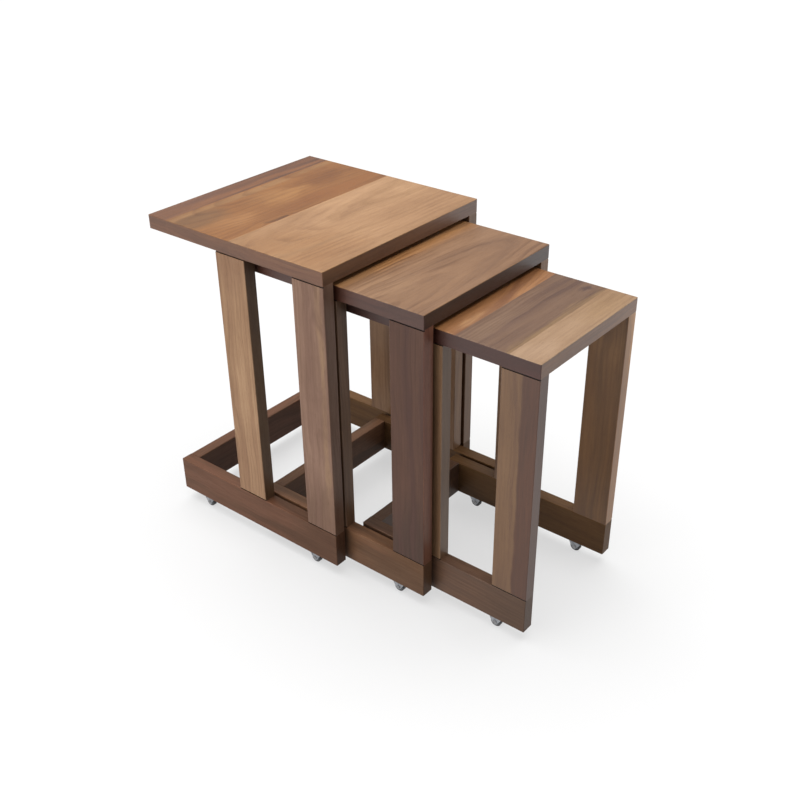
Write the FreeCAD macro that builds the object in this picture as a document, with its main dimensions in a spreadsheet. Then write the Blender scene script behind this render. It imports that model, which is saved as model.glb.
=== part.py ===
import FreeCAD
import Part
import Sketcher
import math
import os

# Nest of three wooden side tables on small fixed casters.
#
# Each table is a slab of edge-glued boards on four flat legs. The legs stand on a low base of two
# side rails and a back rail, open at the front, so the next smaller table rolls in from there. The
# large table is dimensioned in full, and the other two follow from it through the clearances. All
# three tops are equally deep, and only the bases get shorter from one table to the next.
#
# Millimetres, +Z up. X runs across the fronts and the tables pull out along -Y. The origin is on
# the floor, under the centre of the nest as it stands with both smaller tables part way out.
# Left is -X, the left hand of a person who stands in front of the tables and faces them.

SIZES = {
    # The large table.
    "large_width": 410,
    "large_depth": 408,
    "large_height": 600,
    # Timber, the same in all three tables.
    "slab_thickness": 25,
    "frame_thickness": 24,
    "rail_height": 67.5,
    "leg_width": 67.5,
    "rear_leg_start": 175,
    "floor_gap": 24,
    # Gaps around a table that is rolled into the next larger one.
    "side_clearance": 7,
    "top_clearance": 8.5,
    "back_clearance": 5,
    # How far each front edge stands ahead of the next larger table's.
    "medium_pull": 173,
    "small_pull": 187,
    # Board widths, from the front edge back. The rear board takes the rest of the depth.
    "large_front_board": 207,
    "large_middle_board": 154,
    "medium_front_board": 207,
    "small_front_board": 54,
    "small_second_board": 98,
    "small_third_board": 98,
    # Eased edges, and the shadow grooves outside the leg joints.
    "edge_chamfer": 0.8,
    "upper_kerf": 2.4,
    "lower_kerf": 2.4,
    "kerf_depth": 2,
    # Dowels, two to a joint.
    "dowel_diameter": 8,
    "dowel_length": 40,
    "dowel_in_leg": 24,
    "dowel_pitch": 28,
    "dowel_chamfer": 1,
    "dowel_end_gap": 1,
    "glue_film": 0.05,
    # Casters.
    "caster_inset": 61,
    "wheel_diameter": 20,
    "wheel_width": 9,
    "wheel_chamfer": 1.2,
    "wheel_recess": 1.2,
    "hub_diameter": 8,
    "rim_bore": 15,
    "axle_diameter": 4,
    "axle_play": 0.05,
    "axle_head_diameter": 7,
    "axle_head_height": 1,
    "plate_length": 46,
    "plate_width": 18,
    "plate_thickness": 1.5,
    "plate_corner": 4,
    "cheek_thickness": 1.2,
    "cheek_gap": 10,
    "cheek_top": 28,
    "cheek_nose": 5.5,
    "screw_pitch": 36,
    "screw_diameter": 3,
    "screw_play": 0.1,
    "screw_head_diameter": 6,
    "screw_head_height": 1.8,
    "screw_grip": 14,
    "screw_point": 1.2,
}

BOARDS = {
    "large": ("front", "middle", "rear"),
    "medium": ("front", "rear"),
    "small": ("front", "second", "third", "rear"),
}
LEG_STARTS = {"front": "0", "rear": "Size.rear_leg_start"}
SKETCH_ORIGIN = -1
START = 1
END = 2
CENTRE = 3

doc = FreeCAD.newDocument("NestingTables")
sheet = doc.addObject("Spreadsheet::Sheet", "Size")
sub_parts = []


class Table:
    """Expressions for one table's own sizes. nest is 0 for the large one, 1 and 2 inside it."""

    def __init__(self, name, nest):
        pulled_out = "".join(f" - Size.{table}_pull" for table in ("medium", "small")[:nest])
        side_step = "(Size.frame_thickness + Size.side_clearance)"
        back_step = "(Size.frame_thickness + Size.back_clearance)"
        top_step = "(Size.slab_thickness + Size.top_clearance)"
        self.name = name
        self.width = f"(Size.large_width - {2 * nest} * {side_step})"
        self.depth = f"(Size.large_depth - {nest} * {back_step})"
        self.slab_z = f"(Size.large_height - {nest} * {top_step} - Size.slab_thickness)"
        self.front = f"((Size.medium_pull + Size.small_pull - Size.large_depth) / 2{pulled_out})"
        self.rail_top = "(Size.floor_gap + Size.rail_height)"
        self.leg_length = f"({self.slab_z} - {self.rail_top})"
        self.rail_x = f"({self.width} / 2 - Size.frame_thickness / 2)"
        self.caster_ys = ("Size.caster_inset", f"({self.depth} - Size.caster_inset)")
        self.leg_dowel_ys = [
            f"({start} + Size.leg_width / 2 {sign} Size.dowel_pitch / 2)"
            for start in LEG_STARTS.values()
            for sign in "-+"
        ]


def number(expression):
    """The value of an expression that uses the sheet's aliases."""
    return float(sheet.evalExpression(expression))


def new_body(name, x, y, z):
    """A sub-part whose own origin is bound to a place in the nest."""
    body = doc.addObject("PartDesign::Body", name)
    body.Label = name
    body.AllowCompound = True
    for axis, expression in zip("xyz", (x, y, z)):
        body.setExpression(f"Placement.Base.{axis}", expression)
    sub_parts.append(body)
    return body


def new_sketch(body, name, role, offset="0"):
    """A sketch parallel to one of the body's origin planes, at an offset along its normal."""
    sketch = body.newObject("Sketcher::SketchObject", f"{body.Name}_{name}_sketch")
    plane = next(item for item in body.Origin.OriginFeatures if item.Role == role)
    sketch.AttachmentSupport = (plane, "")
    sketch.MapMode = "FlatFace"
    sketch.setExpression("AttachmentOffset.Base.z", offset)
    return sketch


def dimension(sketch, kind, where, size):
    """One dimension of a sketch, bound to an expression."""
    index = sketch.addConstraint(Sketcher.Constraint(kind, *where, number(size)))
    sketch.setExpression(f"Constraints[{index}]", size)


def fix_point(sketch, geometry, point, x, y):
    """Holds a point of the sketch's geometry at a place measured from the sketch's origin."""
    for kind, distance in (("DistanceX", x), ("DistanceY", y)):
        dimension(sketch, kind, (SKETCH_ORIGIN, START, geometry, point), distance)


def add_rectangle(sketch, left, low, width, height):
    """An upright rectangle with its lower left corner and both sides dimensioned."""
    x0, y0 = number(left), number(low)
    x1, y1 = x0 + number(width), y0 + number(height)
    corners = [FreeCAD.Vector(x, y, 0) for x, y in ((x0, y0), (x1, y0), (x1, y1), (x0, y1))]
    ends = corners[1:] + corners[:1]
    sides = [Part.LineSegment(start, end) for start, end in zip(corners, ends)]
    bottom, right, top, left_side = sketch.addGeometry(sides, False)
    for side, following in ((bottom, right), (right, top), (top, left_side), (left_side, bottom)):
        sketch.addConstraint(Sketcher.Constraint("Coincident", side, END, following, START))
    for side in (bottom, top):
        sketch.addConstraint(Sketcher.Constraint("Horizontal", side))
    for side in (right, left_side):
        sketch.addConstraint(Sketcher.Constraint("Vertical", side))
    dimension(sketch, "DistanceX", (bottom, START, bottom, END), width)
    dimension(sketch, "DistanceY", (right, START, right, END), height)
    fix_point(sketch, bottom, START, left, low)


def add_circle(sketch, x, y, diameter):
    """A circle with its centre and diameter dimensioned."""
    centre = FreeCAD.Vector(number(x), number(y), 0)
    circle = Part.Circle(centre, FreeCAD.Vector(0, 0, 1), number(diameter) / 2)
    index = sketch.addGeometry(circle, False)
    dimension(sketch, "Diameter", (index,), diameter)
    fix_point(sketch, index, CENTRE, x, y)


def add_cheek(sketch, x, axle_y, top_y):
    """A caster cheek's outline: straight across the top, tapering to a nose around the axle."""
    centre = FreeCAD.Vector(number(x), number(axle_y), 0)
    radius = number("Size.cheek_nose")
    reach = FreeCAD.Vector(number("Size.cheek_top") / 2, number(top_y) - centre.y, 0)
    top_left = centre + FreeCAD.Vector(-reach.x, reach.y, 0)
    top_right = centre + reach
    touch = math.atan2(reach.y, reach.x) - math.acos(radius / reach.Length)
    nose = Part.ArcOfCircle(Part.Circle(centre, FreeCAD.Vector(0, 0, 1), radius),
                            math.pi - touch, 2 * math.pi + touch)
    lines = [
        Part.LineSegment(top_left, top_right),
        Part.LineSegment(top_right, nose.EndPoint),
        Part.LineSegment(nose.StartPoint, top_left),
    ]
    top, right, left = sketch.addGeometry(lines, False)
    arc = sketch.addGeometry(nose, False)
    sketch.addConstraint(Sketcher.Constraint("Coincident", top, END, right, START))
    sketch.addConstraint(Sketcher.Constraint("Coincident", left, END, top, START))
    sketch.addConstraint(Sketcher.Constraint("Tangent", right, END, arc, END))
    sketch.addConstraint(Sketcher.Constraint("Tangent", left, START, arc, START))
    sketch.addConstraint(Sketcher.Constraint("Horizontal", top))
    dimension(sketch, "DistanceX", (top, START, top, END), "Size.cheek_top")
    dimension(sketch, "Radius", (arc,), "Size.cheek_nose")
    fix_point(sketch, arc, CENTRE, x, axle_y)
    fix_point(sketch, top, START, f"{x} - Size.cheek_top / 2", top_y)


def add_feature(body, kind, name, **settings):
    """A PartDesign feature on top of the body's last one."""
    feature = body.newObject(f"PartDesign::{kind}", f"{body.Name}_{name}")
    for key, value in settings.items():
        setattr(feature, key, value)
    body.Tip = feature
    return feature


def pad(body, name, sketch, length, **settings):
    """Extrudes a sketch to a bound length."""
    feature = add_feature(body, "Pad", name, Profile=sketch, **settings)
    feature.setExpression("Length", length)
    doc.recompute()
    return feature


def confirm_cut(body, feature, before):
    """Stops if a subtractive feature pointed away from the solid and removed nothing."""
    doc.recompute()
    if feature.Shape.Volume > before - 1:
        raise RuntimeError(f"{feature.Name} cuts nothing from {body.Name}")


def pocket(body, name, sketch, depth=None, **settings):
    """Cuts a sketch into the body, to a bound depth or right through both ways."""
    before = body.Shape.Volume
    feature = add_feature(body, "Pocket", name, Profile=sketch, **settings)
    if depth is None:
        feature.Type = "ThroughAll"
        feature.SideType = "Symmetric"
    else:
        feature.setExpression("Length", depth)
    confirm_cut(body, feature, before)


def edges_at(shape, middles):
    """Names of the edges whose middles are at the given points."""
    names = []
    for middle in middles:
        point = FreeCAD.Vector(*middle)
        distances = [edge.CenterOfMass.distanceToPoint(point) for edge in shape.Edges]
        nearest = min(distances)
        if nearest > 0.01:
            raise RuntimeError(f"no edge has its middle at {middle}")
        names.append(f"Edge{distances.index(nearest) + 1}")
    return names


def ring_edges(shape, diameter):
    """Names of the circular edges of one diameter."""
    return [
        f"Edge{index}"
        for index, edge in enumerate(shape.Edges, 1)
        if isinstance(edge.Curve, Part.Circle) and abs(edge.Curve.Radius - diameter / 2) < 0.01
    ]


def chamfer(body, edges, size="Size.edge_chamfer"):
    """Eases some edges of the body's last feature."""
    feature = add_feature(body, "Chamfer", "eased_edges", Base=(body.Tip, edges))
    feature.setExpression("Size", size)
    doc.recompute()


def new_board(name, x, y, z, sizes):
    """A plain rectangular piece of timber with its corner at its own origin."""
    length_x, length_y, length_z = sizes
    body = new_body(name, x, y, z)
    outline = new_sketch(body, "outline", "XY_Plane")
    add_rectangle(outline, "0", "0", length_x, length_y)
    pad(body, "timber", outline, length_z)
    return body


def drill(body, name, role, face, places, diameter, depth, towards_normal):
    """Round blind holes into one flat face, each at a place in that face's own axes."""
    centres = new_sketch(body, name, role, face)
    for across, up in places:
        add_circle(centres, across, up, diameter)
    pocket(body, name, centres, depth, Reversed=towards_normal)


DOWEL_HOLE = "(Size.dowel_diameter + 2 * Size.glue_film)"
DOWEL_IN_LEG_HOLE = "(Size.dowel_in_leg + Size.dowel_end_gap)"
DOWEL_IN_FRAME = "(Size.dowel_length - Size.dowel_in_leg)"
DOWEL_IN_FRAME_HOLE = f"({DOWEL_IN_FRAME} + Size.dowel_end_gap)"
RAIL_DOWEL_ZS = [f"(Size.rail_height / 2 {sign} Size.dowel_pitch / 2)" for sign in "-+"]


def make_slab(table):
    """The top: boards laid side by side from front to back, with holes for the leg dowels."""
    names = BOARDS[table.name]
    start = "0"
    for order, which in enumerate(names):
        is_front = order == 0
        is_rear = order == len(names) - 1
        length = f"(Size.large_depth - {start})" if is_rear else f"Size.{table.name}_{which}_board"
        body = new_board(f"{table.name}_{which}_top_board",
                         f"-{table.width} / 2", f"{table.front} + {start}", table.slab_z,
                         (table.width, length, "Size.slab_thickness"))
        low, high = number(start), number(start) + number(length)
        places = [
            (x, f"({y} - {start})")
            for y in table.leg_dowel_ys
            if low < number(y) < high
            for x in ("Size.frame_thickness / 2", f"({table.width} - Size.frame_thickness / 2)")
        ]
        if places:
            drill(body, "dowel_holes", "XY_Plane", "0", places,
                  DOWEL_HOLE, DOWEL_IN_FRAME_HOLE, True)
        wide, deep, thick = number(table.width), number(length), number("Size.slab_thickness")
        outer = [(x, deep / 2, thick) for x in (0, wide)]
        for is_end, y in ((is_front, 0), (is_rear, deep)):
            if is_end:
                outer.append((wide / 2, y, thick))
                outer += [(x, y, thick / 2) for x in (0, wide)]
        chamfer(body, edges_at(body.Tip.Shape, outer))
        start = f"({start} + {length})"


def make_leg(table, side, row):
    """A flat leg, dowelled at both ends and grooved outside where it meets slab and rail."""
    is_left = side == "left"
    edge_x = f"-{table.width} / 2" if is_left else f"{table.width} / 2 - Size.frame_thickness"
    body = new_board(f"{table.name}_{row}_{side}_leg",
                     edge_x, f"{table.front} + {LEG_STARTS[row]}", table.rail_top,
                     ("Size.frame_thickness", "Size.leg_width", table.leg_length))
    places = [
        ("Size.frame_thickness / 2", f"(Size.leg_width / 2 {sign} Size.dowel_pitch / 2)")
        for sign in "-+"
    ]
    for name, face, upwards in (("lower", "0", True), ("upper", table.leg_length, False)):
        drill(body, f"{name}_dowel_holes", "XY_Plane", face, places,
              DOWEL_HOLE, DOWEL_IN_LEG_HOLE, upwards)
    groove_x = "0" if is_left else "(Size.frame_thickness - Size.kerf_depth)"
    kerfs = new_sketch(body, "kerfs", "XZ_Plane")
    add_rectangle(kerfs, groove_x, "0", "Size.kerf_depth", "Size.lower_kerf")
    add_rectangle(kerfs, groove_x, f"({table.leg_length} - Size.upper_kerf)",
                  "Size.kerf_depth", "Size.upper_kerf")
    pocket(body, "kerfs", kerfs)
    thick, wide, tall = (number(size) for size in ("Size.frame_thickness", "Size.leg_width",
                                                   table.leg_length))
    outer_x, inner_x = (0, thick) if is_left else (thick, 0)
    outer_z = (tall + number("Size.lower_kerf") - number("Size.upper_kerf")) / 2
    long_edges = [(x, y, z) for x, z in ((outer_x, outer_z), (inner_x, tall / 2)) for y in (0, wide)]
    chamfer(body, edges_at(body.Tip.Shape, long_edges))


def make_side_rail(table, side):
    """A side rail with holes for leg dowels, back rail dowels and caster screws."""
    is_left = side == "left"
    edge_x = f"-{table.width} / 2" if is_left else f"{table.width} / 2 - Size.frame_thickness"
    body = new_board(f"{table.name}_{side}_base_rail", edge_x, table.front, "Size.floor_gap",
                     ("Size.frame_thickness", table.depth, "Size.rail_height"))
    middle = "Size.frame_thickness / 2"
    drill(body, "leg_dowel_holes", "XY_Plane", "Size.rail_height",
          [(middle, y) for y in table.leg_dowel_ys], DOWEL_HOLE, DOWEL_IN_FRAME_HOLE, False)
    inner_x = "Size.frame_thickness" if is_left else "0"
    back_middle = f"({table.depth} - Size.frame_thickness / 2)"
    drill(body, "back_dowel_holes", "YZ_Plane", inner_x,
          [(back_middle, z) for z in RAIL_DOWEL_ZS], DOWEL_HOLE, DOWEL_IN_FRAME_HOLE, not is_left)
    screws = [
        (middle, f"({y} {sign} Size.screw_pitch / 2)") for y in table.caster_ys for sign in "-+"
    ]
    drill(body, "screw_holes", "XY_Plane", "0", screws,
          "(Size.screw_diameter + 2 * Size.screw_play)", "(Size.screw_grip + Size.screw_play)", True)
    thick, deep, tall = (number(size) for size in ("Size.frame_thickness", table.depth,
                                                   "Size.rail_height"))
    outer_x = 0 if is_left else thick
    eased = [(x, deep / 2, z) for x in (0, thick) for z in (0, tall)]
    eased += [(x, 0, tall / 2) for x in (0, thick)]
    eased += [(outer_x, deep, tall / 2), (thick / 2, 0, 0)]
    chamfer(body, edges_at(body.Tip.Shape, eased))


def make_back_rail(table):
    """The back rail, butted between the side rails."""
    length = f"({table.width} - 2 * Size.frame_thickness)"
    body = new_board(f"{table.name}_back_base_rail", f"-{length} / 2",
                     f"{table.front} + {table.depth} - Size.frame_thickness", "Size.floor_gap",
                     (length, "Size.frame_thickness", "Size.rail_height"))
    places = [("Size.frame_thickness / 2", z) for z in RAIL_DOWEL_ZS]
    for name, face, towards_right in (("left", "0", True), ("right", length, False)):
        drill(body, f"{name}_dowel_holes", "YZ_Plane", face, places,
              DOWEL_HOLE, DOWEL_IN_LEG_HOLE, towards_right)
    long, thick, tall = (number(size) for size in (length, "Size.frame_thickness",
                                                   "Size.rail_height"))
    eased = [(long / 2, y, z) for y in (0, thick) for z in (0, tall)]
    chamfer(body, edges_at(body.Tip.Shape, eased))


def make_dowels(table):
    """All the dowels of one table: two at each end of each leg, and of the back rail."""
    body = new_body(f"{table.name}_dowels", "0", table.front, "0")
    upright = {
        "lower": f"({table.rail_top} - {DOWEL_IN_FRAME})",
        "upper": f"({table.slab_z} - Size.dowel_in_leg)",
    }
    for name, low_z in upright.items():
        sketch = new_sketch(body, name, "XY_Plane", low_z)
        for y in table.leg_dowel_ys:
            for x in (f"-{table.rail_x}", table.rail_x):
                add_circle(sketch, x, y, "Size.dowel_diameter")
        pad(body, name, sketch, "Size.dowel_length")
    inner_x = f"({table.width} / 2 - Size.frame_thickness)"
    level = {
        "left": f"(-{inner_x} - {DOWEL_IN_FRAME})",
        "right": f"({inner_x} - Size.dowel_in_leg)",
    }
    for name, low_x in level.items():
        sketch = new_sketch(body, name, "YZ_Plane", low_x)
        for z in RAIL_DOWEL_ZS:
            add_circle(sketch, f"({table.depth} - Size.frame_thickness / 2)",
                       f"(Size.floor_gap + {z})", "Size.dowel_diameter")
        pad(body, name, sketch, "Size.dowel_length")
    chamfer(body, ring_edges(body.Tip.Shape, number("Size.dowel_diameter")), "Size.dowel_chamfer")


AXLE_Z = "(Size.wheel_diameter / 2)"
PLATE_Z = "(Size.floor_gap - Size.plate_thickness)"


def make_brackets(table):
    """Four fixed caster brackets: a screwed plate with two cheeks that hold the axle."""
    body = new_body(f"{table.name}_caster_brackets", "0", table.front, "0")
    plates = new_sketch(body, "plates", "XY_Plane", PLATE_Z)
    for x in (f"-{table.rail_x}", table.rail_x):
        for y in table.caster_ys:
            add_rectangle(plates, f"({x} - Size.plate_width / 2)", f"({y} - Size.plate_length / 2)",
                          "Size.plate_width", "Size.plate_length")
            for sign in "-+":
                add_circle(plates, x, f"({y} {sign} Size.screw_pitch / 2)",
                           "(Size.screw_diameter + 2 * Size.screw_play)")
    pad(body, "plates", plates, "Size.plate_thickness")
    half_wide, half_long = number("Size.plate_width / 2"), number("Size.plate_length / 2")
    plate_middle = number(f"{PLATE_Z} + Size.plate_thickness / 2")
    corners = [
        (number(x) + dx, number(y) + dy, plate_middle)
        for x in (f"-{table.rail_x}", table.rail_x)
        for y in table.caster_ys
        for dx in (-half_wide, half_wide)
        for dy in (-half_long, half_long)
    ]
    rounded = add_feature(body, "Fillet", "rounded_corners",
                          Base=(body.Tip, edges_at(body.Tip.Shape, corners)))
    rounded.setExpression("Radius", "Size.plate_corner")
    doc.recompute()
    cheek_offsets = {
        "outer": "- Size.cheek_gap / 2 - Size.cheek_thickness",
        "inner": "+ Size.cheek_gap / 2",
    }
    for side, x in (("left", f"-{table.rail_x}"), ("right", table.rail_x)):
        for cheek, offset in cheek_offsets.items():
            name = f"{side}_{cheek}_cheeks"
            sketch = new_sketch(body, name, "YZ_Plane", f"({x} {offset})")
            for y in table.caster_ys:
                add_cheek(sketch, y, AXLE_Z, PLATE_Z)
                add_circle(sketch, y, AXLE_Z, "(Size.axle_diameter + 2 * Size.axle_play)")
            pad(body, name, sketch, "Size.cheek_thickness")


def make_axles(table):
    """Four riveted axles, each with a head outside either cheek."""
    body = new_body(f"{table.name}_caster_axles", "0", table.front, "0")
    half_grip = "(Size.cheek_gap / 2 + Size.cheek_thickness)"
    runs = {
        "shank": (f"- {half_grip}", f"(2 * {half_grip})", "Size.axle_diameter"),
        "outer_head": (f"- {half_grip} - Size.axle_head_height", "Size.axle_head_height",
                       "Size.axle_head_diameter"),
        "inner_head": (f"+ {half_grip}", "Size.axle_head_height", "Size.axle_head_diameter"),
    }
    for side, x in (("left", f"-{table.rail_x}"), ("right", table.rail_x)):
        for run, (offset, length, diameter) in runs.items():
            sketch = new_sketch(body, f"{side}_{run}", "YZ_Plane", f"({x} {offset})")
            for y in table.caster_ys:
                add_circle(sketch, y, AXLE_Z, diameter)
            pad(body, f"{side}_{run}", sketch, length)


def make_screws(table):
    """Eight wood screws: a flat head under the plate and a pointed shank up into the rail."""
    body = new_body(f"{table.name}_caster_screws", "0", table.front, "0")
    runs = {
        "heads": (f"({PLATE_Z} - Size.screw_head_height)", "Size.screw_head_height",
                  "Size.screw_head_diameter"),
        "shanks": (PLATE_Z, "(Size.plate_thickness + Size.screw_grip)", "Size.screw_diameter"),
    }
    for run, (low_z, length, diameter) in runs.items():
        sketch = new_sketch(body, run, "XY_Plane", low_z)
        for x in (f"-{table.rail_x}", table.rail_x):
            for y in table.caster_ys:
                for sign in "-+":
                    add_circle(sketch, x, f"({y} {sign} Size.screw_pitch / 2)", diameter)
        pad(body, run, sketch, length)
    shape = body.Tip.Shape
    top_z = number("Size.floor_gap + Size.screw_grip")
    points = [
        name
        for name in ring_edges(shape, number("Size.screw_diameter"))
        if abs(shape.getElement(name).CenterOfMass.z - top_z) < 0.01
    ]
    chamfer(body, points, "Size.screw_point")


def make_wheel(table, side, row):
    """A solid wheel with a recess between hub and rim on each side, turning about X."""
    x = f"-{table.rail_x}" if side == "left" else table.rail_x
    y = table.caster_ys[0] if row == "front" else table.caster_ys[1]
    body = new_body(f"{table.name}_{row}_{side}_wheel", x, f"{table.front} + {y}", AXLE_Z)
    bore = "(Size.axle_diameter / 2 + Size.axle_play)"
    section = new_sketch(body, "section", "XZ_Plane")
    add_rectangle(section, "-Size.wheel_width / 2", bore,
                  "Size.wheel_width", f"(Size.wheel_diameter / 2 - {bore})")
    add_feature(body, "Revolution", "disc", Profile=section, ReferenceAxis=(section, ["H_Axis"]))
    doc.recompute()
    before = body.Shape.Volume
    recesses = new_sketch(body, "recesses", "XZ_Plane")
    for left in ("-Size.wheel_width / 2", "(Size.wheel_width / 2 - Size.wheel_recess)"):
        add_rectangle(recesses, left, "Size.hub_diameter / 2",
                      "Size.wheel_recess", "(Size.rim_bore - Size.hub_diameter) / 2")
    groove = add_feature(body, "Groove", "recesses", Profile=recesses,
                         ReferenceAxis=(recesses, ["H_Axis"]))
    confirm_cut(body, groove, before)
    chamfer(body, ring_edges(body.Tip.Shape, number("Size.wheel_diameter")), "Size.wheel_chamfer")


def make_table(table):
    """Every sub-part of one table."""
    make_slab(table)
    for side in ("left", "right"):
        make_side_rail(table, side)
        for row in LEG_STARTS:
            make_leg(table, side, row)
            make_wheel(table, side, row)
    make_back_rail(table)
    make_dowels(table)
    make_brackets(table)
    make_axles(table)
    make_screws(table)


def check_document():
    """Stops if any object failed to compute or any sub-part's shape is unusable."""
    doc.recompute()
    for item in doc.Objects:
        if "Invalid" in item.State or "Error" in item.State:
            raise RuntimeError(f"{item.Name} did not compute: {item.State}")
    for body in sub_parts:
        if body.Shape.isNull() or not body.Shape.isValid():
            raise RuntimeError(f"{body.Label} has no valid shape")


def write_sub_parts():
    """One STEP file for each sub-part, named after it."""
    os.makedirs("parts", exist_ok=True)
    for body in sub_parts:
        body.Shape.exportStep(f"parts/{body.Label}.step")
        box = body.Shape.BoundBox
        print(f"{body.Label}: {len(body.Shape.Solids)} solid(s), {box.XLength:.1f} x "
              f"{box.YLength:.1f} x {box.ZLength:.1f} mm")


for line, (alias, size) in enumerate(SIZES.items(), 1):
    sheet.set(f"A{line}", alias)
    sheet.set(f"B{line}", str(size))
    sheet.setAlias(f"B{line}", alias)
doc.recompute()
for nest, table_name in enumerate(BOARDS):
    make_table(Table(table_name, nest))
check_document()
write_sub_parts()
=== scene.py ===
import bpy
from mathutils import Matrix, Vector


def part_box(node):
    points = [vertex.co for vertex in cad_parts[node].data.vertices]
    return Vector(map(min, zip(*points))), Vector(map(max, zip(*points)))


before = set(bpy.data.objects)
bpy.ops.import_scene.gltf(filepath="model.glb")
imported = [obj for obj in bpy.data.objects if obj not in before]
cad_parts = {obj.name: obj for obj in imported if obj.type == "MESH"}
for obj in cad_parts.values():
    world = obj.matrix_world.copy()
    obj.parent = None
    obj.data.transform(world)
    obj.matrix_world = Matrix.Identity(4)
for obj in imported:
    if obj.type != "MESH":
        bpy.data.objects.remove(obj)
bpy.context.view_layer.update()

import math
import random

import bpy
from mathutils import Matrix, Vector

# Three walnut side tables that nest. The CAD nodes carry the whole shape, so this scene gives
# them their timber, steel and rubber, and sets the floor, the lights and the camera.

TABLES = ("large", "medium", "small")
AXES = {"x": 0, "y": 1, "z": 2}


# ---------------------------------------------------------------- node trees

def linear(red, green, blue):
    """A display colour, 0 to 255 a channel, as scene-linear RGBA."""
    channels = (channel / 255 for channel in (red, green, blue))
    return [c / 12.92 if c <= 0.04045 else ((c + 0.055) / 1.055) ** 2.4 for c in channels] + [1.0]


class Graph:
    """Builds a node tree. Every value passed in is a constant or another node's output."""

    def __init__(self, tree):
        self.tree = tree

    def node(self, kind, values=None, **settings):
        """A new node. values maps its sockets to constants or to outputs to link from."""
        item = self.tree.nodes.new(kind)
        for key, value in settings.items():
            setattr(item, key, value)
        for socket, value in (values or {}).items():
            if isinstance(value, bpy.types.NodeSocket):
                self.tree.links.new(value, item.inputs[socket])
            else:
                item.inputs[socket].default_value = value
        return item

    def math(self, operation, *values):
        """One step of arithmetic on numbers."""
        return self.node("ShaderNodeMath", dict(enumerate(values)), operation=operation).outputs[0]

    def vector(self, operation, *values):
        """One step of arithmetic on vectors."""
        item = self.node("ShaderNodeVectorMath", dict(enumerate(values)), operation=operation)
        return item.outputs["Value" if operation in ("DOT_PRODUCT", "LENGTH") else "Vector"]

    def scaled(self, vector, factor):
        """A vector times a number."""
        item = self.node("ShaderNodeVectorMath", {0: vector, "Scale": factor}, operation="SCALE")
        return item.outputs["Vector"]

    def noise(self, vector, detail=2.0, roughness=0.5, output="Fac"):
        """Noise at a place that is already scaled. Output Color is three noises in one."""
        values = {"Vector": vector, "Scale": 1.0, "Detail": detail, "Roughness": roughness}
        return self.node("ShaderNodeTexNoise", values).outputs[output]

    def smooth(self, value, low, high, start=0.0, end=1.0):
        """start below low, end above high, and an even S-curve between them."""
        values = {"Value": value, "From Min": low, "From Max": high, "To Min": start, "To Max": end}
        item = self.node("ShaderNodeMapRange", values, interpolation_type="SMOOTHSTEP")
        return item.outputs["Result"]

    def mix(self, factor, first, second, mode="MIX"):
        """Blends two colours. A Mix node has them on sockets 6 and 7 and the blend on output 2."""
        values = {0: factor, 6: first, 7: second}
        return self.node("ShaderNodeMix", values, data_type="RGBA", blend_type=mode).outputs[2]

    def split(self, vector):
        """The three parts of a vector."""
        return self.node("ShaderNodeSeparateXYZ", {0: vector}).outputs

    def join(self, *values):
        """A vector from three numbers."""
        return self.node("ShaderNodeCombineXYZ", dict(enumerate(values))).outputs[0]

    def grey(self, value):
        """The grey of a number."""
        return self.join(value, value, value)


def new_group(name, inputs, outputs):
    """An empty shader group with named sockets: returns its tree, graph, inputs and output node."""
    tree = bpy.data.node_groups.new(name, "ShaderNodeTree")
    for socket, kind in inputs.items():
        tree.interface.new_socket(socket, in_out="INPUT", socket_type=f"NodeSocket{kind}")
    for socket, kind in outputs.items():
        tree.interface.new_socket(socket, in_out="OUTPUT", socket_type=f"NodeSocket{kind}")
    graph = Graph(tree)
    return tree, graph, graph.node("NodeGroupInput").outputs, graph.node("NodeGroupOutput")


def new_material(name):
    """A material with one Principled shader: returns the material, its graph and the shader."""
    material = bpy.data.materials.new(name)
    material.use_nodes = True
    material.node_tree.nodes.clear()
    graph = Graph(material.node_tree)
    shader = graph.node("ShaderNodeBsdfPrincipled")
    output = graph.node("ShaderNodeOutputMaterial")
    material.node_tree.links.new(shader.outputs["BSDF"], output.inputs["Surface"])
    return material, graph, shader


def bump(graph, shader, height, distance, strength=1.0):
    """Drives the shader's normal from a height, in units of the distance in metres."""
    values = {"Height": height, "Distance": distance, "Strength": strength}
    graph.tree.links.new(graph.node("ShaderNodeBump", values).outputs["Normal"],
                         shader.inputs["Normal"])


def paint(node, material):
    """Puts one material on every slot of a CAD node."""
    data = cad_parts[node].data
    if not data.materials:
        data.materials.append(material)
    for index in range(len(data.materials)):
        data.materials[index] = material


# ---------------------------------------------------------------- timber

# How the growth rings depart from true circles, in metres: a slow wander, a fine ripple, and the
# radius round a knot within which they are lifted.
RING_WANDER = 0.040
RING_RIPPLE = 0.0034
KNOT_REACH = 0.034
# How far one step of the seed moves a piece through the noise, so that no two are alike.
SEED_STEP = (1.71, 3.37, 5.13)


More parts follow.
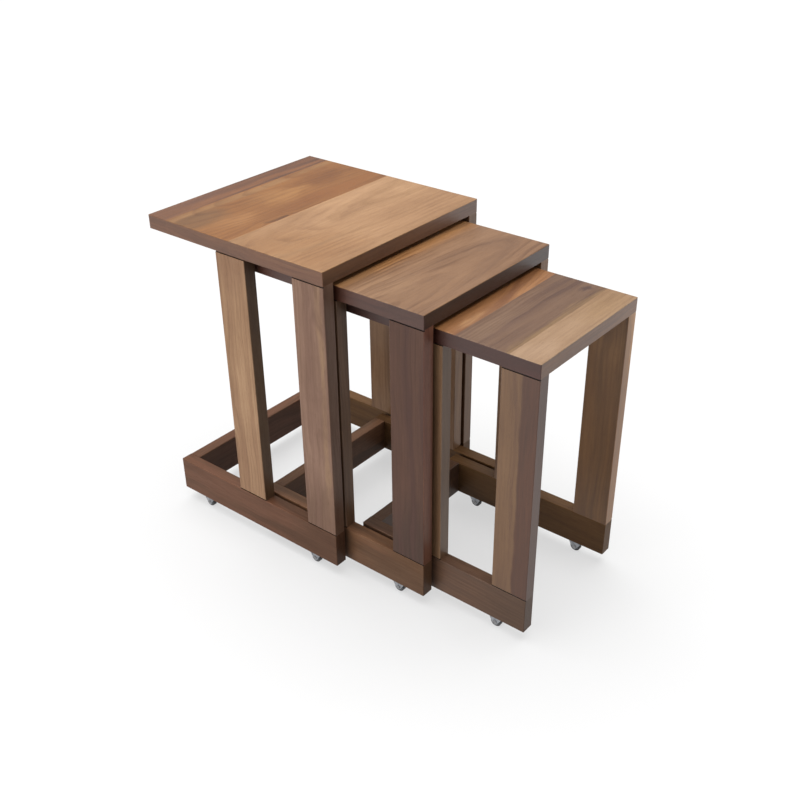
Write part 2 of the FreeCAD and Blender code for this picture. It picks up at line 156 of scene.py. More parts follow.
def ring_radius(graph, given, grain, placed):
    """The distance from the pith line, bent by wander and knot, and the place along the grain."""
    # The rings wander: slowly along the grain, faster across it.
    wander = graph.noise(graph.vector("MULTIPLY", placed, (3.4, 8.0, 8.0)), 2.0, 0.45, "Color")
    wander = graph.scaled(graph.vector("SUBTRACT", wander, (0.5, 0.5, 0.5)), RING_WANDER)
    ripple = graph.noise(graph.vector("MULTIPLY", placed, (22.0, 60.0, 60.0)), 2.0, 0.5, "Color")
    ripple = graph.scaled(graph.vector("SUBTRACT", ripple, (0.5, 0.5, 0.5)), RING_RIPPLE)
    bent = graph.vector("ADD", graph.vector("ADD", grain, wander), ripple)
    along, across, through = graph.split(bent)
    tilt, pith_across, pith_through = graph.split(given["Pith"])
    side = graph.math("SUBTRACT", across, pith_across)
    depth = graph.math("SUBTRACT", through, graph.math("MULTIPLY_ADD", along, tilt, pith_through))
    radius = graph.math("SQRT", graph.math("ADD", graph.math("MULTIPLY", side, side),
                                           graph.math("MULTIPLY", depth, depth)))

    # A knot, at its place along and across the piece, lifts the rings into an eye.
    knot_along, knot_across, knot_lift = graph.split(given["Knot"])
    off_along = graph.math("MULTIPLY", graph.math("SUBTRACT", along, knot_along), 0.5)
    off_across = graph.math("SUBTRACT", across, knot_across)
    off = graph.vector("LENGTH", graph.join(off_along, off_across, 0.0))
    lift = graph.math("MULTIPLY", graph.smooth(off, 0.0, KNOT_REACH, 1.0, 0.0), knot_lift)
    return graph.math("ADD", radius, lift), along


def year_lines(graph, given, placed, radius):
    """The thin dark line that ends each year. Years vary in width, and the line comes and goes."""
    turns = graph.math("DIVIDE", radius, given["Ring Spacing"])
    years = graph.noise(graph.join(graph.math("MULTIPLY", turns, 0.31), given["Seed"], 0.0), 2.0)
    turns = graph.math("MULTIPLY_ADD", years, 2.2, turns)
    year = graph.math("FRACT", turns)
    line = graph.math("MULTIPLY", graph.smooth(year, 0.45, 0.93),
                      graph.smooth(year, 0.95, 1.0, 1.0, 0.0))
    comes = graph.noise(graph.vector("MULTIPLY", placed, (5.0, 17.0, 17.0)), 2.0)
    return graph.math("MULTIPLY", line, graph.smooth(comes, 0.40, 0.64, 0.12, 1.0))


def streaked_colour(graph, given, radius, along):
    """Pigment streaks over the ground colour, which follow the rings."""
    streak_at = graph.join(graph.math("MULTIPLY", along, 2.0), graph.math("MULTIPLY", radius, 70.0),
                           given["Seed"])
    streak = graph.noise(streak_at, 4.0, 0.62)
    start = graph.math("MULTIPLY_ADD", given["Streak Amount"], -0.40, 0.60)
    streaked = graph.smooth(streak, start, graph.math("ADD", start, 0.26))
    return graph.mix(streaked, given["Ground"], given["Streak"])


def wood_shade(graph, given, placed, line, fibre, pore):
    """How bright the wood is: year lines, cloudy patches, fibres, pores, end grain and wear."""
    cloud = graph.noise(graph.vector("MULTIPLY", placed, (6.0, 16.0, 16.0)), 3.0)
    shade = graph.math("MULTIPLY_ADD", graph.math("MULTIPLY", line, given["Ring Depth"]), -1.0, 1.0)
    shade = graph.math("MULTIPLY", shade, graph.math("MULTIPLY_ADD", cloud, 0.52, 0.74))
    shade = graph.math("MULTIPLY", shade, graph.math("MULTIPLY_ADD", fibre, 0.64, 0.68))
    shade = graph.math("MULTIPLY", shade, graph.math("MULTIPLY_ADD", pore, -0.22, 1.0))
    shade = graph.math("MULTIPLY", shade, graph.math("MULTIPLY_ADD", given["End"], -0.35, 1.0))

    # Handled edges are rubbed a little paler.
    worn = graph.noise(graph.vector("MULTIPLY", placed, (60.0, 60.0, 60.0)), 2.0)
    worn = graph.math("MULTIPLY", given["Edge"], graph.smooth(worn, 0.35, 0.65, 0.25, 1.0))
    return graph.math("MULTIPLY", shade, graph.math("MULTIPLY_ADD", worn, 0.22, 1.0))


def make_timber_group():
    """Wood as a solid: growth rings about a pith line that runs nearly along the grain.

    Grain is the place in the piece, in metres: x along the grain, y across the wide face and z
    through it. Pith gives the tilt of the pith line and its place in y and z, so a board cut far
    from it shows arches and one cut close to it shows straight lines.
    """
    tree, graph, given, result = new_group(
        "timber",
        {"Grain": "Vector", "Seed": "Float", "Ground": "Color", "Streak": "Color",
         "Streak Amount": "Float", "Pith": "Vector", "Ring Spacing": "Float",
         "Ring Depth": "Float", "Knot": "Vector", "End": "Float", "Edge": "Float"},
        {"Color": "Color", "Roughness": "Float", "Height": "Float"})
    grain = given["Grain"]
    placed = graph.vector("ADD", grain, graph.scaled(SEED_STEP, given["Seed"]))
    radius, along = ring_radius(graph, given, grain, placed)
    line = year_lines(graph, given, placed, radius)
    colour = streaked_colour(graph, given, radius, along)

    # Fibres and pores are drawn out along the grain.
    fibre = graph.noise(graph.vector("MULTIPLY", placed, (10.0, 260.0, 260.0)), 4.0, 0.68)
    pore = graph.noise(graph.vector("MULTIPLY", placed, (75.0, 1500.0, 1500.0)), 1.0)
    pore = graph.smooth(pore, 0.58, 0.72)
    shade = wood_shade(graph, given, placed, line, fibre, pore)

    # Dark wood is also redder than light wood.
    warm = graph.join(shade, graph.math("POWER", shade, 1.25), graph.math("POWER", shade, 1.5))
    colour = graph.mix(1.0, colour, warm, "MULTIPLY")

    # Fibres and end grain are duller, and the pores sink in.
    dull = graph.math("MULTIPLY_ADD", fibre, 0.12, 0.34)
    dull = graph.math("MULTIPLY_ADD", given["End"], 0.12, dull)
    height = graph.math("MULTIPLY_ADD", pore, -0.8, graph.math("MULTIPLY", fibre, 0.6))
    for socket, value in (("Color", colour), ("Roughness", dull), ("Height", height)):
        tree.links.new(value, result.inputs[socket])
    return tree


def make_edge_group():
    """How near a place on a box is to the box's nearest edge: 1 on the edge, 0 past the wear."""
    tree, graph, given, result = new_group(
        "edge_wear", {"Place": "Vector", "Half": "Vector", "Reach": "Float"}, {"Edge": "Float"})
    inset = graph.split(graph.vector("SUBTRACT", given["Half"],
                                     graph.vector("ABSOLUTE", given["Place"])))
    nearest = graph.math("MINIMUM", inset[0], inset[1])
    second = graph.math("MAXIMUM", nearest,
                        graph.math("MINIMUM", graph.math("MAXIMUM", inset[0], inset[1]), inset[2]))
    tree.links.new(graph.smooth(second, 0.0, given["Reach"], 1.0, 0.0), result.inputs["Edge"])
    return tree


TIMBER = make_timber_group()
EDGE_WEAR = make_edge_group()
# How far the wear reaches in from an edge, in metres.
EDGE_REACH = 0.0014


def group_node(graph, tree, values):
    """The outputs of a group node that has these inputs."""
    return graph.node("ShaderNodeGroup", values, node_tree=tree).outputs


def tint_patches(graph, grain, colour, patches):
    """Lays soft oval patches of other colours over a ground colour: tone in the wood, and on some
    pieces painted shade or painted light.

    Each patch is (along, across, half length, half width, strength, colour), in metres from the
    middle of the piece.
    """
    drift = graph.noise(graph.vector("MULTIPLY", grain, (9.0, 26.0, 26.0)), 3.0, 0.6, "Color")
    drift = graph.vector("SUBTRACT", drift, (0.5, 0.5, 0.5))
    place = graph.vector("ADD", grain, graph.vector("MULTIPLY", drift, (0.14, 0.030, 0.0)))
    for along, across, length, width, strength, tone in patches:
        away = graph.vector("SUBTRACT", place, (along, across, 0.0))
        away = graph.vector("MULTIPLY", away, (1 / length, 1 / width, 0.0))
        inside = graph.smooth(graph.vector("LENGTH", away), 0.45, 1.35, strength, 0.0)
        colour = graph.mix(inside, colour, linear(*tone))
    return colour


# The boxes of painted groove shade reach a little past the grooves that the CAD legs
# have, in metres.
GROOVE_DEPTH = 0.0026
GROOVE_HEIGHT = 0.0030
GROOVE_MARGIN = 0.0006
GROOVE_FADE = 0.0002
# How much of the colour's brightness the painted shade leaves inside a groove.
GROOVE_PAINTED_SHADE = 0.15
# Boxes this near each other, in metres, count as touching.
TOUCHING = 0.0005


def grooves(table):
    """The shadow grooves outside a table's legs, as (low corner, high corner) boxes."""
    boxes = []
    for row in ("front", "rear"):
        for side in ("left", "right"):
            low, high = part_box(f"{table}_{row}_{side}_leg")
            left_x = low.x if side == "left" else high.x - GROOVE_DEPTH
            for bottom, top in ((low.z - GROOVE_MARGIN, low.z + GROOVE_HEIGHT),
                                (high.z - GROOVE_HEIGHT, high.z + GROOVE_MARGIN)):
                boxes.append((Vector((left_x, low.y - GROOVE_MARGIN, bottom)),
                              Vector((left_x + GROOVE_DEPTH, high.y + GROOVE_MARGIN, top))))
    return boxes


def paint_groove_shade(graph, where, colour, boxes):
    """Paints shade onto a colour inside each box, where the shadow grooves are."""
    for low, high in boxes:
        past = graph.vector("ABSOLUTE", graph.vector("SUBTRACT", where, tuple((low + high) / 2)))
        past = graph.split(graph.vector("SUBTRACT", past, tuple((high - low) / 2)))
        past = graph.math("MAXIMUM", graph.math("MAXIMUM", past[0], past[1]), past[2])
        inside = graph.smooth(past, -GROOVE_MARGIN, -GROOVE_FADE, GROOVE_PAINTED_SHADE, 1.0)
        colour = graph.mix(1.0, colour, graph.grey(inside), "MULTIPLY")
    return colour


def grooves_at(table, low, high):
    """The table's groove boxes that reach a piece with these low and high corners."""
    return [(start, stop) for start, stop in grooves(table)
            if all(start[i] < high[i] + TOUCHING and stop[i] > low[i] - TOUCHING for i in range(3))]


# The border of the sapwood, in metres: how far it wavers and where it starts and ends.
SAP_WAVER = 0.012
SAP_START = 0.003
SAP_END = 0.009
# The streaks in sapwood are this much of its own colour.
SAP_STREAK = 0.88


def sapwood(graph, place, across, border, tone, ground, streak):
    """Changes the ground and streak colours to sapwood's below a wavering border across a piece."""
    waver = graph.noise(graph.vector("MULTIPLY", place, (0.0, 0.0, 14.0)), 2.0)
    seen = graph.math("MULTIPLY_ADD", waver, SAP_WAVER, across)
    other = graph.smooth(seen, border + SAP_START, border + SAP_END, 1.0, 0.0)
    ground = graph.mix(other, ground, linear(*tone))
    streak = graph.mix(other, streak, linear(*(SAP_STREAK * channel for channel in tone)))
    return ground, streak


def lip(graph, coordinates, facing, edge, colour, lipping):
    """Lays long-grain strips over a top's upright faces. lipping is (sides, front and back): two
    colours that differ partly by the wood and partly as painted shade and painted light.
    """
    whole = graph.split(coordinates["Object"])
    sideways = graph.smooth(facing[0], 0.5, 0.6)
    # The side and front colours carry painted shade and painted light as well as the wood's tone.
    strip_colour = graph.mix(sideways, linear(*lipping[1]), linear(*lipping[0]))
    strip_streak = graph.mix(0.35, strip_colour, linear(24, 14, 10))
    run = graph.math("ADD", graph.math("MULTIPLY", whole[1], sideways),
                     graph.math("MULTIPLY", whole[0], graph.math("SUBTRACT", 1.0, sideways)))
    strip = group_node(graph, TIMBER, {
        "Grain": graph.join(run, whole[2], sideways), "Seed": 3.0, "Ground": strip_colour,
        "Streak": strip_streak, "Streak Amount": 0.5, "Pith": (0.01, 0.2, -0.05),
        "Ring Spacing": 0.004, "Ring Depth": 0.2, "Knot": (0.0, 0.0, 0.0), "End": 0.0,
        "Edge": edge})
    upright = graph.smooth(facing[2], 0.5, 0.6, 1.0, 0.0)
    return graph.mix(upright, colour, strip["Color"])


# A face is square to an axis between these shares of its normal along that axis.
SQUARE_ON = (0.5, 0.9)
# The height of the bumps in the wood, in metres.
PORE_DEPTH = 0.00006


def timber(node, order, ground, streak, amount=0.5, pith=(0.0, 0.0, -0.09), spacing=0.006,
           depth=0.22, patches=(), seed=0.0, lipping=None, side_face_painted_light=1.0, knot=(0.0, 0.0, 0.0),
           two_tone=None, gloss=0.5, end=1.0):
    """Wood for one CAD node.

    order names the axes along the grain, across the wide face and through it. Pith, spacing,
    depth and knot are the timber group's inputs of those names. lipping holds the colours of the
    long-grain strips at a top's sides and at its front, which differ partly by the wood and partly
    as painted shade and painted light. The thin-side factor scales the brightness of the thin
    side's faces as painted shade or painted light, and end is how much the end grain shows.
    two_tone is (across, colour): a piece sawn from heartwood and sapwood changes to that colour
    below that place across it.
    """
    material, graph, shader = new_material(f"walnut_{node}")
    low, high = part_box(node)
    middle, half = (low + high) / 2, (high - low) / 2
    coordinates = graph.node("ShaderNodeTexCoord").outputs
    place = graph.vector("SUBTRACT", coordinates["Object"], tuple(middle))
    facing = graph.split(graph.vector("ABSOLUTE", coordinates["Normal"]))
    parts = graph.split(place)
    grain = graph.join(*(parts[AXES[axis]] for axis in order))
    edge = group_node(graph, EDGE_WEAR,
                      {"Place": place, "Half": tuple(half), "Reach": EDGE_REACH})["Edge"]
    base = tint_patches(graph, grain, linear(*ground), patches)
    darker = linear(*streak)
    if two_tone:
        base, darker = sapwood(graph, place, parts[AXES[order[1]]], *two_tone, base, darker)
    values = {
        "Grain": grain, "Seed": seed, "Streak": darker, "Ground": base,
        "Streak Amount": amount, "Pith": pith, "Ring Spacing": spacing, "Ring Depth": depth,
        "Knot": knot, "End": graph.smooth(facing[AXES[order[0]]], *SQUARE_ON, 0.0, end),
        "Edge": edge,
    }
    if lipping:
        values["End"] = 0.0
    wood = group_node(graph, TIMBER, values)
    colour, dull, height = wood["Color"], wood["Roughness"], wood["Height"]
    # Painted shade or painted light on the faces of the thin side.
    if side_face_painted_light != 1.0:
        thin_face_painted_light = graph.smooth(facing[AXES[order[1]]], *SQUARE_ON, 1.0, side_face_painted_light)
        colour = graph.mix(1.0, colour, graph.grey(thin_face_painted_light), "MULTIPLY")
    if lipping:
        colour = lip(graph, coordinates, facing, edge, colour, lipping)
    table = node.split("_")[0]
    # Painted shade inside the shadow grooves at the ends of the legs.
    colour = paint_groove_shade(graph, coordinates["Object"], colour, grooves_at(table, low, high))
    links = material.node_tree.links
    links.new(colour, shader.inputs["Base Color"])
    links.new(dull, shader.inputs["Roughness"])
    shader.inputs["Specular IOR Level"].default_value = gloss
    bump(graph, shader, height, PORE_DEPTH, 0.6)
    paint(node, material)


# The look of every top board: ground and streak colours from 0 to 255, how much streak, the pith
# line, ring spacing and depth, and patches of other colours.
TOP_BOARDS = {
    "large_front": dict(
        ground=(146, 110, 76), streak=(133, 98, 64), amount=0.30, pith=(0.11, 0.045, -0.045),
        spacing=0.011, depth=0.17,
        patches=[(-0.19, -0.02, 0.12, 0.12, 0.9, (135, 97, 61)),
                 (0.12, 0.055, 0.20, 0.050, 0.8, (155, 119, 85)),
                 (0.0, -0.095, 0.30, 0.016, 0.5, (134, 99, 66))]),
    "large_middle": dict(
        ground=(124, 80, 37), streak=(112, 69, 29), amount=0.32, pith=(0.10, 0.06, -0.04),
        spacing=0.009, depth=0.20, knot=(-0.100, -0.066, 0.022),
        patches=[(-0.18, 0.040, 0.07, 0.045, 0.9, (102, 71, 41)),
                 (0.0, 0.066, 0.40, 0.010, 0.8, (128, 92, 55)),
                 (0.0, 0.010, 0.06, 0.036, 0.9, (139, 96, 51)),
                 (-0.14, -0.020, 0.05, 0.022, 0.7, (136, 93, 51)),
                 (0.12, 0.012, 0.06, 0.034, 0.9, (108, 65, 25)),
                 (0.08, -0.050, 0.16, 0.020, 0.7, (117, 70, 28)),
                 (-0.10, -0.070, 0.014, 0.007, 0.8, (76, 43, 18))]),
    "large_rear": dict(
        ground=(100, 64, 41), streak=(79, 50, 34), amount=0.50, pith=(0.01, -0.09, -0.03),
        spacing=0.006, depth=0.24,
        patches=[(0.05, -0.012, 0.24, 0.009, 0.8, (121, 78, 45)),
                 (-0.10, 0.010, 0.06, 0.010, 0.6, (84, 54, 40))]),
    "medium_front": dict(
        ground=(119, 87, 60), streak=(102, 72, 49), amount=0.32, pith=(-0.08, -0.042, -0.035),
        spacing=0.009, depth=0.34,
        # The first patch, a paler band along the board's back edge near the large top, is partly
        # the wood and partly painted light against the shade there.
        patches=[(0.02, 0.080, 0.40, 0.036, 0.9, (157, 112, 69)),
                 (-0.14, 0.02, 0.06, 0.08, 0.5, (128, 97, 69))]),
    "medium_rear": dict(
        ground=(124, 89, 60), streak=(104, 72, 48), amount=0.5, pith=(0.06, 0.05, -0.06),
        spacing=0.008, depth=0.2),
    "small_front": dict(
        ground=(132, 104, 77), streak=(119, 89, 59), amount=0.3, pith=(0.03, 0.06, -0.05),
        spacing=0.011, depth=0.12,
        patches=[(0.09, 0.0, 0.08, 0.03, 0.7, (122, 93, 61)),
                 (-0.12, 0.0, 0.04, 0.03, 0.6, (140, 113, 88))]),
    "small_second": dict(
        ground=(97, 71, 52), streak=(78, 53, 40), amount=0.45, pith=(0.01, 0.10, -0.03),
        spacing=0.005, depth=0.24,
        patches=[(0.0, -0.043, 0.80, 0.007, 1.0, (113, 86, 56)),
                 (-0.08, 0.03, 0.10, 0.03, 0.5, (108, 83, 63)),
                 (0.138, -0.020, 0.014, 0.008, 0.8, (60, 39, 34))]),
    "small_third": dict(
        # Its ground is partly the wood's tone and partly painted light against the shade of the
        # medium top over it.
        ground=(128, 86, 50), streak=(108, 69, 40), amount=0.45, pith=(-0.09, 0.0, -0.04),
        spacing=0.008, depth=0.22,
        patches=[(-0.085, -0.043, 0.05, 0.012, 0.9, (160, 120, 80)),
                 (0.10, -0.040, 0.10, 0.014, 0.6, (138, 96, 58))]),
    "small_rear": dict(
        ground=(110, 78, 49), streak=(92, 62, 42), amount=0.5, pith=(0.05, 0.02, -0.06),
        spacing=0.008, depth=0.2),
}
# The strips along the tops' edges: the colour at the sides, and at the front and back. The two
# differ partly by the wood and partly as painted shade and painted light.
LIPPINGS_WITH_PAINTED_SHADE = {
    "large": ((102, 65, 41), (97, 63, 38)),
    "medium": ((75, 40, 26), (53, 29, 16)),
    "small": ((59, 26, 15), (114, 78, 51)),
}
# The legs that have a look of their own. Each of the rest takes one of OTHER_LEGS. The thin-side
# factor is painted shade or painted light on a leg's thin faces. The low patches on the large
# and medium front left legs are painted shade, darker towards the bottom.
LEG_LOOKS = {
    "large_rear_left": dict(ground=(146, 112, 82), streak=(131, 96, 68), amount=0.35, side_face_painted_light=0.42,
                            patches=[(0.02, 0.0, 0.14, 0.05, 0.8, (156, 122, 90)),
                                     (0.24, 0.0, 0.06, 0.05, 0.6, (131, 96, 70))]),
    "large_front_left": dict(ground=(128, 98, 80), streak=(111, 81, 65), amount=0.5, side_face_painted_light=0.75,
                             patches=[(0.0, -0.022, 0.60, 0.006, 0.8, (144, 114, 86)),
                                      # Painted shade, darker towards the bottom of the leg.
                                      (-0.24, 0.0, 0.10, 0.05, 0.9, (105, 77, 58))]),
    "medium_front_left": dict(ground=(77, 49, 35), streak=(68, 41, 31), amount=0.5, side_face_painted_light=2.7,
                              # Painted shade, darker towards the bottom of the leg.
                              patches=[(-0.22, 0.0, 0.12, 0.05, 0.9, (60, 38, 26))]),
    "small_front_left": dict(ground=(107, 76, 47), streak=(94, 64, 40), amount=0.4,
                             two_tone=(-0.004, (75, 42, 22))),
    "small_rear_left": dict(ground=(134, 101, 72), streak=(116, 86, 60), amount=0.5, side_face_painted_light=0.6),
    "small_front_right": dict(ground=(109, 74, 39), streak=(94, 63, 32), amount=0.5, side_face_painted_light=1.9,
                              patches=[(0.20, 0.0, 0.09, 0.05, 0.8, (133, 94, 54))]),
}
OTHER_LEGS = [
    dict(ground=(122, 91, 64), streak=(106, 77, 54), amount=0.5),
    dict(ground=(106, 78, 56), streak=(90, 65, 46), amount=0.5),
]
# The specular level of the varnish on each table's legs.
LEG_GLOSS = {"large": 0.3, "medium": 0.3, "small": 0.55}
# The left and the back rail of each table. The patch is painted shade: it darkens the left
# rail's front end and the back rail's left end. All right rails share one look.
RAIL_LOOKS = {
    "large": dict(ground=(100, 68, 51), streak=(85, 59, 43), amount=0.45, gloss=0.12,
                  patches=[(-0.18, 0.0, 0.09, 0.20, 0.8, (85, 59, 43))]),
    "medium": dict(ground=(112, 80, 58), streak=(94, 69, 51), amount=0.45, gloss=0.12,
                   patches=[(-0.18, 0.0, 0.09, 0.20, 0.8, (95, 69, 49))]),
    "small": dict(ground=(92, 66, 49), streak=(79, 57, 43), amount=0.45, gloss=0.28,
                  patches=[(-0.18, 0.0, 0.09, 0.20, 0.8, (79, 58, 43))]),
}
RIGHT_RAIL_LOOK = dict(ground=(94, 67, 41), streak=(80, 56, 34), amount=0.45, gloss=0.12)


WOOD_SEED = 9
FRAME_RINGS = 0.007


def paint_tables():
    """Timber for every board, leg and rail, each piece cut from its own place in the tree."""
    chance = random.Random(WOOD_SEED)
    for board, look in TOP_BOARDS.items():
        lipping = LIPPINGS_WITH_PAINTED_SHADE[board.split("_")[0]]
        timber(f"{board}_top_board", "xyz", seed=chance.uniform(1, 40), lipping=lipping, **look)
    for table in TABLES:
        for row in ("front", "rear"):
            for side in ("left", "right"):
                name = f"{table}_{row}_{side}"
                look = LEG_LOOKS.get(name) or chance.choice(OTHER_LEGS)
                timber(f"{name}_leg", "zyx", seed=chance.uniform(1, 40), gloss=LEG_GLOSS[table],
                       pith=(chance.uniform(-0.02, 0.02), chance.uniform(-0.08, 0.08), -0.06),
                       spacing=FRAME_RINGS, depth=0.18, **look)
        for side in ("left", "right"):
            look = RAIL_LOOKS[table] if side == "left" else RIGHT_RAIL_LOOK
            timber(f"{table}_{side}_base_rail", "yzx", seed=chance.uniform(1, 40),
                   pith=(chance.uniform(-0.03, 0.03), chance.uniform(-0.06, 0.06), -0.06),
                   spacing=FRAME_RINGS, depth=0.16, end=0.3, **look)
        timber(f"{table}_back_base_rail", "xzy", seed=chance.uniform(1, 40),
               pith=(0.02, 0.03, -0.06), spacing=FRAME_RINGS, depth=0.16,
               **RAIL_LOOKS[table])


# ---------------------------------------------------------------- dowels, steel and rubber

def beech():
    """Pale plain beech with short flecks, for the dowels."""
    material, graph, shader = new_material("beech_dowel")
    place = graph.node("ShaderNodeTexCoord").outputs["Object"]
    fleck = graph.noise(graph.vector("MULTIPLY", place, (900.0, 900.0, 220.0)), 2.0)
    cloud = graph.noise(graph.vector("MULTIPLY", place, (60.0, 60.0, 20.0)), 2.0)
    colour = graph.mix(graph.smooth(fleck, 0.4, 0.7), linear(222, 190, 150), linear(196, 158, 118))
    colour = graph.mix(graph.math("MULTIPLY", cloud, 0.4), colour, linear(186, 148, 110))
    graph.tree.links.new(colour, shader.inputs["Base Color"])
    shader.inputs["Roughness"].default_value = 0.6
    bump(graph, shader, fleck, 0.00005)
    return material


def steel(name, colour, roughness, tarnish):
    """Plated or turned steel: a faint spangle, uneven gloss and a duller film in patches."""
    material, graph, shader = new_material(name)
    place = graph.node("ShaderNodeTexCoord").outputs["Object"]
    spangle = graph.node("ShaderNodeTexVoronoi", {"Vector": place, "Scale": 700.0})
    patch = graph.noise(graph.scaled(place, 260.0), 3.0, 0.6)
    scratch = graph.noise(graph.vector("MULTIPLY", place, (2600.0, 240.0, 2600.0)), 2.0)
    film = graph.smooth(patch, 0.42, 0.68)
    tint = graph.mix(film, linear(*colour), linear(*tarnish))
    grains = graph.math("MULTIPLY_ADD", spangle.outputs["Distance"], 0.10, 0.94)
    tint = graph.mix(1.0, tint, graph.grey(grains), "MULTIPLY")
    gloss = graph.math("MULTIPLY_ADD", film, 0.14, roughness)
    gloss = graph.math("MULTIPLY_ADD", scratch, 0.08, gloss)
    graph.tree.links.new(tint, shader.inputs["Base Color"])
    graph.tree.links.new(gloss, shader.inputs["Roughness"])
    shader.inputs["Metallic"].default_value = 1.0
    bump(graph, shader, scratch, 0.00002, 0.5)
    return material


# The paler centre fades out between these shares of the wheel's radius.
CENTRE_FULL = 0.74
CENTRE_END = 0.78


def wheel_rubber(node):
    """Dark rubber tread around a paler moulded centre, with floor dust worked into the tread."""
    material, graph, shader = new_material(f"rubber_{node}")
    low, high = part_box(node)
    middle = (low + high) / 2
    place = graph.vector("SUBTRACT", graph.node("ShaderNodeTexCoord").outputs["Object"],
                         tuple(middle))
    radius = graph.vector("LENGTH", graph.vector("MULTIPLY", place, (0.0, 1.0, 1.0)))
    tread_radius = (high.z - low.z) / 2
    centre = graph.smooth(radius, CENTRE_FULL * tread_radius, CENTRE_END * tread_radius, 1.0, 0.0)
    grit = graph.noise(graph.scaled(place, 1500.0), 3.0, 0.6)
    dust = graph.noise(graph.scaled(place, 330.0), 3.0, 0.6)
    dusty = graph.math("MULTIPLY", graph.smooth(dust, 0.45, 0.7), 0.35)
    colour = graph.mix(centre, linear(52, 53, 56), linear(112, 114, 118))
    colour = graph.mix(dusty, colour, linear(128, 122, 114))
    colour = graph.mix(graph.math("MULTIPLY", grit, 0.25), colour, linear(34, 34, 36))
    graph.tree.links.new(colour, shader.inputs["Base Color"])
    graph.tree.links.new(graph.math("MULTIPLY_ADD", grit, 0.2, 0.48), shader.inputs["Roughness"])
    bump(graph, shader, grit, 0.00005, 0.7)
    paint(node, material)


def paint_hardware():
    """Materials for the dowels and for every piece of the casters."""
    dowel = beech()
    bracket = steel("zinc_bracket", (160, 162, 166), 0.34, (121, 123, 127))
    axle = steel("axle_steel", (152, 152, 154), 0.26, (118, 116, 114))
    screw = steel("screw_steel", (182, 182, 180), 0.30, (146, 144, 138))
    for table in TABLES:
        paint(f"{table}_dowels", dowel)
        paint(f"{table}_caster_brackets", bracket)
        paint(f"{table}_caster_axles", axle)
        paint(f"{table}_caster_screws", screw)
        for row in ("front", "rear"):
            for side in ("left", "right"):
                wheel_rubber(f"{table}_{row}_{side}_wheel")


# ---------------------------------------------------------------- stage

# The camera's place in metres, its angles in degrees and its lens in millimetres.
CAMERA_PLACE = (-1.2928, -1.0617, 1.2553)
CAMERA_HEADING = 51.045
CAMERA_DIP = 31.487
CAMERA_ROLL = -0.548
CAMERA_LENS = 47.71
CAMERA_SHIFT = (-0.0049, 0.0226)
SENSOR_WIDTH = 36
# The nearest and farthest that it sees, in metres.
CAMERA_REACH = (0.05, 60)


def make_camera():
    """A long-lens view down onto the left front of the tables."""
    heading = math.radians(CAMERA_HEADING)
    dip = math.radians(CAMERA_DIP)
    roll = math.radians(CAMERA_ROLL)
    forward = Vector((math.sin(heading) * math.cos(dip), math.cos(heading) * math.cos(dip),
                      -math.sin(dip)))
    right = Vector((math.cos(heading), -math.sin(heading), 0))
    up = right.cross(forward)
    across = right * math.cos(roll) + up * math.sin(roll)
    upright = up * math.cos(roll) - right * math.sin(roll)
    data = bpy.data.cameras.new("camera")
    data.lens = CAMERA_LENS
    data.sensor_width = SENSOR_WIDTH
    data.shift_x, data.shift_y = CAMERA_SHIFT
    data.clip_start, data.clip_end = CAMERA_REACH
    camera = bpy.data.objects.new("camera", data)
    bpy.context.scene.collection.objects.link(camera)
    camera.matrix_world = (Matrix.Translation(CAMERA_PLACE)
                           @ Matrix((across, upright, -forward)).transposed().to_4x4())
    bpy.context.scene.camera = camera


# The seen sheet's glow and paint, and the hidden sheet's paint. Then, in metres, half their
# width, and how far each lies below the wheels.
FLOOR_GLOW = 0.58
FLOOR_GREY = 0.222
BOUNCE_GREY = 0.15
FLOOR_HALF = 14.0
FLOOR_DROP = 0.0002
BOUNCE_DROP = 0.0006


def make_floor_sheet(name, height, grey, glow):
    """One wide level sheet with a faintly mottled matt paint."""
    mesh = bpy.data.meshes.new(name)
    corners = [(x * FLOOR_HALF, y * FLOOR_HALF, 0) for x, y in ((-1, -1), (1, -1), (1, 1), (-1, 1))]
    mesh.from_pydata(corners, [], [(0, 1, 2, 3)])
    sheet = bpy.data.objects.new(name, mesh)
    bpy.context.scene.collection.objects.link(sheet)
    sheet.location.z = height
    material, graph, shader = new_material(f"{name}_paint")
    place = graph.node("ShaderNodeTexCoord").outputs["Object"]
    mottle = graph.noise(graph.scaled(place, 3.0), 2.0)
    colour = graph.mix(mottle, (grey * 0.98,) * 3 + (1,), (grey * 1.02,) * 3 + (1,))
    graph.tree.links.new(colour, shader.inputs["Base Color"])
    shader.inputs["Roughness"].default_value = 0.8
    shader.inputs["Specular IOR Level"].default_value = 0.1
    shader.inputs["Emission Color"].default_value = (1.0, 1.0, 1.0, 1.0)
    shader.inputs["Emission Strength"].default_value = glow
    mesh.materials.append(material)
    return sheet


def make_floor():
    """A pale floor just under the wheels.

    The camera and the varnish see a bright sheet with weak shadows. The light thrown back up
    onto the tables comes from a greyer one right under it, so that their inner faces stay dark.
    """
    floor = make_floor_sheet("floor", -FLOOR_DROP, FLOOR_GREY, FLOOR_GLOW)
    floor.visible_diffuse = False
    floor.visible_shadow = False
    bounce = make_floor_sheet("bounce", -BOUNCE_DROP, BOUNCE_GREY, 0.0)
    bounce.visible_camera = False
    bounce.visible_glossy = False


BACKDROP_RADIUS = 12.0
BACKDROP_FOOT = -0.05
BACKDROP_HEIGHT = 9.0
BACKDROP_STEPS = 72


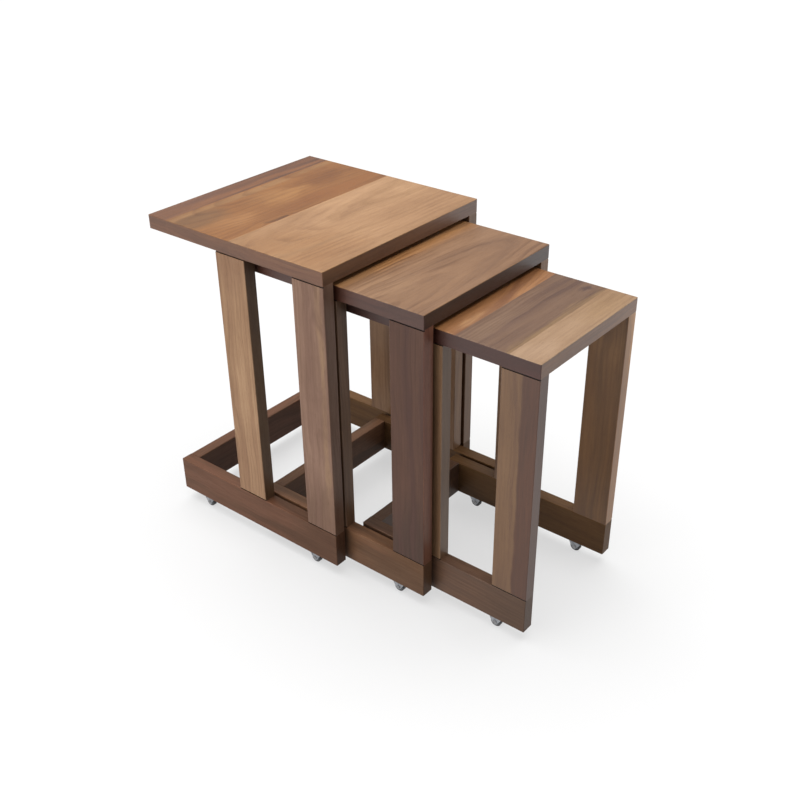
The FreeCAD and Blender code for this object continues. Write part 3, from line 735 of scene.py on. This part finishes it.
def make_backdrop():
    """A round white backdrop far behind the tables. It gives no light of its own to them."""
    ring = [(math.cos(turn) * BACKDROP_RADIUS, math.sin(turn) * BACKDROP_RADIUS)
            for turn in (2 * math.pi * step / BACKDROP_STEPS for step in range(BACKDROP_STEPS))]
    corners = [(x, y, z) for z in (BACKDROP_FOOT, BACKDROP_HEIGHT) for x, y in ring]
    faces = []
    for step in range(BACKDROP_STEPS):
        after = (step + 1) % BACKDROP_STEPS
        faces.append((step, after, after + BACKDROP_STEPS, step + BACKDROP_STEPS))
    mesh = bpy.data.meshes.new("backdrop")
    mesh.from_pydata(corners, [], faces)
    backdrop = bpy.data.objects.new("backdrop", mesh)
    bpy.context.scene.collection.objects.link(backdrop)
    material, graph, shader = new_material("backdrop_paint")
    mottle = graph.noise(graph.node("ShaderNodeTexCoord").outputs["Object"], 2.0)
    colour = graph.mix(mottle, (0.99, 0.99, 0.99, 1.0), (1.0, 1.0, 1.0, 1.0))
    graph.tree.links.new(colour, shader.inputs["Emission Color"])
    shader.inputs["Base Color"].default_value = (0.0, 0.0, 0.0, 1.0)
    shader.inputs["Specular IOR Level"].default_value = 0.0
    shader.inputs["Emission Strength"].default_value = 1.0
    mesh.materials.append(material)
    backdrop.visible_diffuse = False
    backdrop.visible_glossy = False
    backdrop.visible_shadow = False


# The lights: their strengths and powers, the sky's width in degrees and the way towards it, and
# places and sizes in metres.
WORLD_STRENGTH = 0.34
SKY_STRENGTH = 5.0
SKY_WIDTH = 75
SKY_FROM = (0.06, 0.16, 1.0)
SIDE_PLACE = (-3.2, 0.9, 0.9)
SIDE_TARGET = (0.0, 0.0, 0.3)
SIDE_SIZE = 2.0
SIDE_POWER = 74
FRONT_PLACE = (1.7, -1.5, 0.45)
FRONT_TARGET = (0.0, -0.2, 0.35)
FRONT_SIZE = 1.3
FRONT_POWER = 15


def make_softbox(name, place, target, size, power):
    """A square area light at a place, turned towards a target."""
    data = bpy.data.lights.new(name, "AREA")
    data.energy = power
    data.size = size
    softbox = bpy.data.objects.new(name, data)
    softbox.location = place
    towards = Vector(target) - Vector(place)
    softbox.rotation_euler = towards.to_track_quat("-Z", "Y").to_euler()
    bpy.context.scene.collection.objects.link(softbox)


def make_lights():
    """A broad soft light overhead, weaker low ones from left and front, an even surround."""
    sky_data = bpy.data.lights.new("sky", "SUN")
    sky_data.energy = SKY_STRENGTH
    sky_data.angle = math.radians(SKY_WIDTH)
    sky = bpy.data.objects.new("sky", sky_data)
    sky.rotation_euler = Vector(SKY_FROM).to_track_quat("Z", "Y").to_euler()
    bpy.context.scene.collection.objects.link(sky)
    make_softbox("side", SIDE_PLACE, SIDE_TARGET, SIDE_SIZE, SIDE_POWER)
    make_softbox("front", FRONT_PLACE, FRONT_TARGET, FRONT_SIZE, FRONT_POWER)
    world = bpy.data.worlds.new("studio")
    world.use_nodes = True
    background = world.node_tree.nodes["Background"]
    background.inputs["Color"].default_value = (1.0, 1.0, 1.0, 1.0)
    background.inputs["Strength"].default_value = WORLD_STRENGTH
    bpy.context.scene.world = world
    bpy.context.scene.view_settings.view_transform = "Standard"


paint_tables()
paint_hardware()
make_floor()
make_backdrop()
make_lights()
make_camera()
